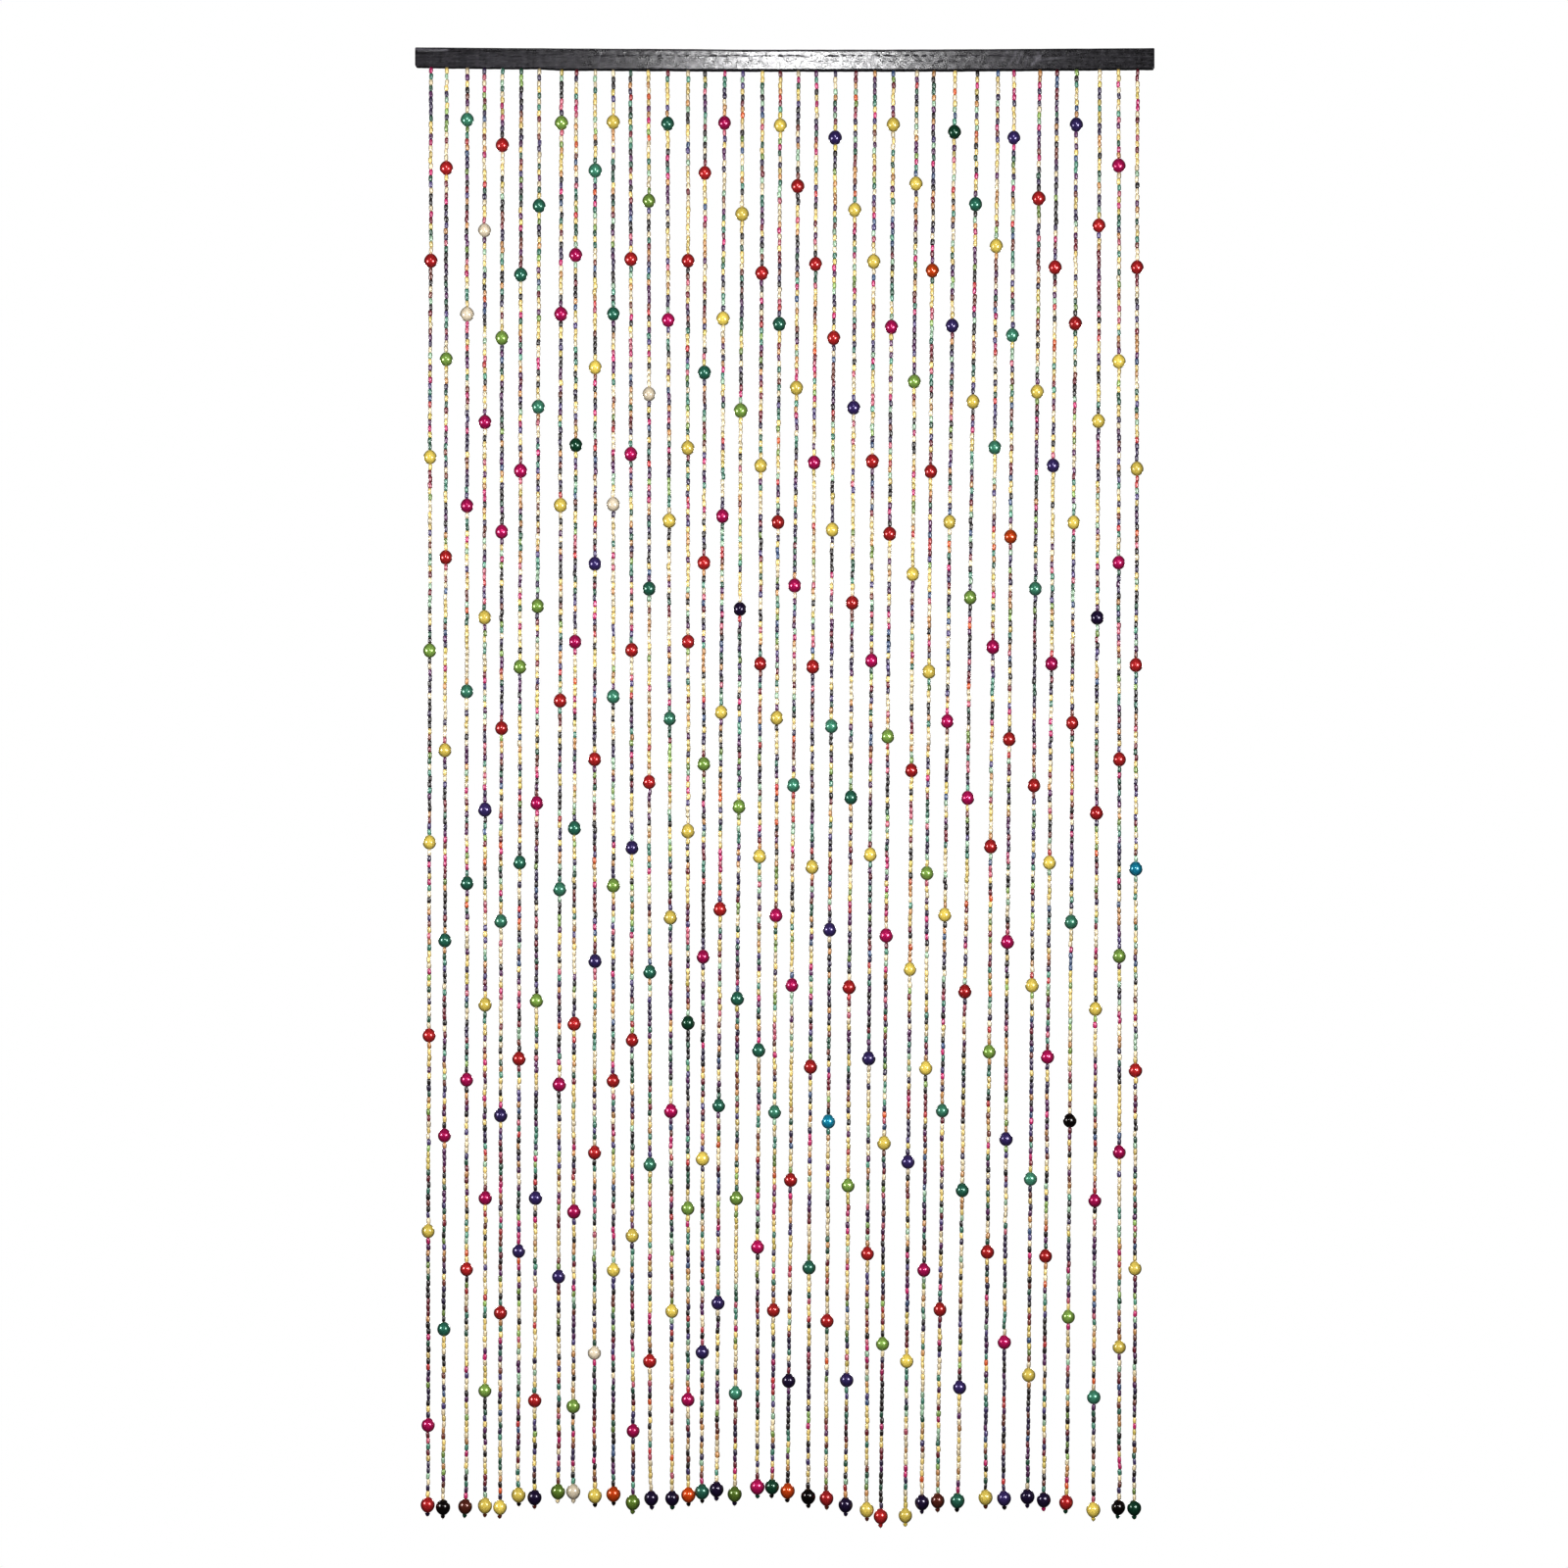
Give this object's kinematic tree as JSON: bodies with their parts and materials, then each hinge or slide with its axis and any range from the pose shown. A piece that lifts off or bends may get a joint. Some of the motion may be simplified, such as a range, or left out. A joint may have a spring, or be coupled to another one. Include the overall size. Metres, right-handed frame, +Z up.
{
  "type": "bead curtain with hanging rail",
  "caption": "Doorway curtain: straight strings of small oval and large round painted wooden beads that hang from a black wooden rail.",
  "frame": {"origin": "middle of the rail's flat back, half way up the rail at its middle", "axes": "+Z up along the hanging strings, +X along the rail to the right as seen from the front, -Y out of the front, and the rail's back faces +Y"},
  "size_m": [0.9, 0.018, 1.8035],
  "materials": {
    "black_painted_wood": "black paint with a worn semi-gloss, brushed along the grain",
    "painted_wood_beads": "glossy stain and lacquer in mixed colours: cream, red, yellow, pink, teal, green, navy, brown",
    "thread": "plain waxed cord, almost hidden inside the beads"
  },
  "bodies": {
    "root": {"rail": "black_painted_wood", "strings": "painted_wood_beads"}
  },
  "joints": []
}
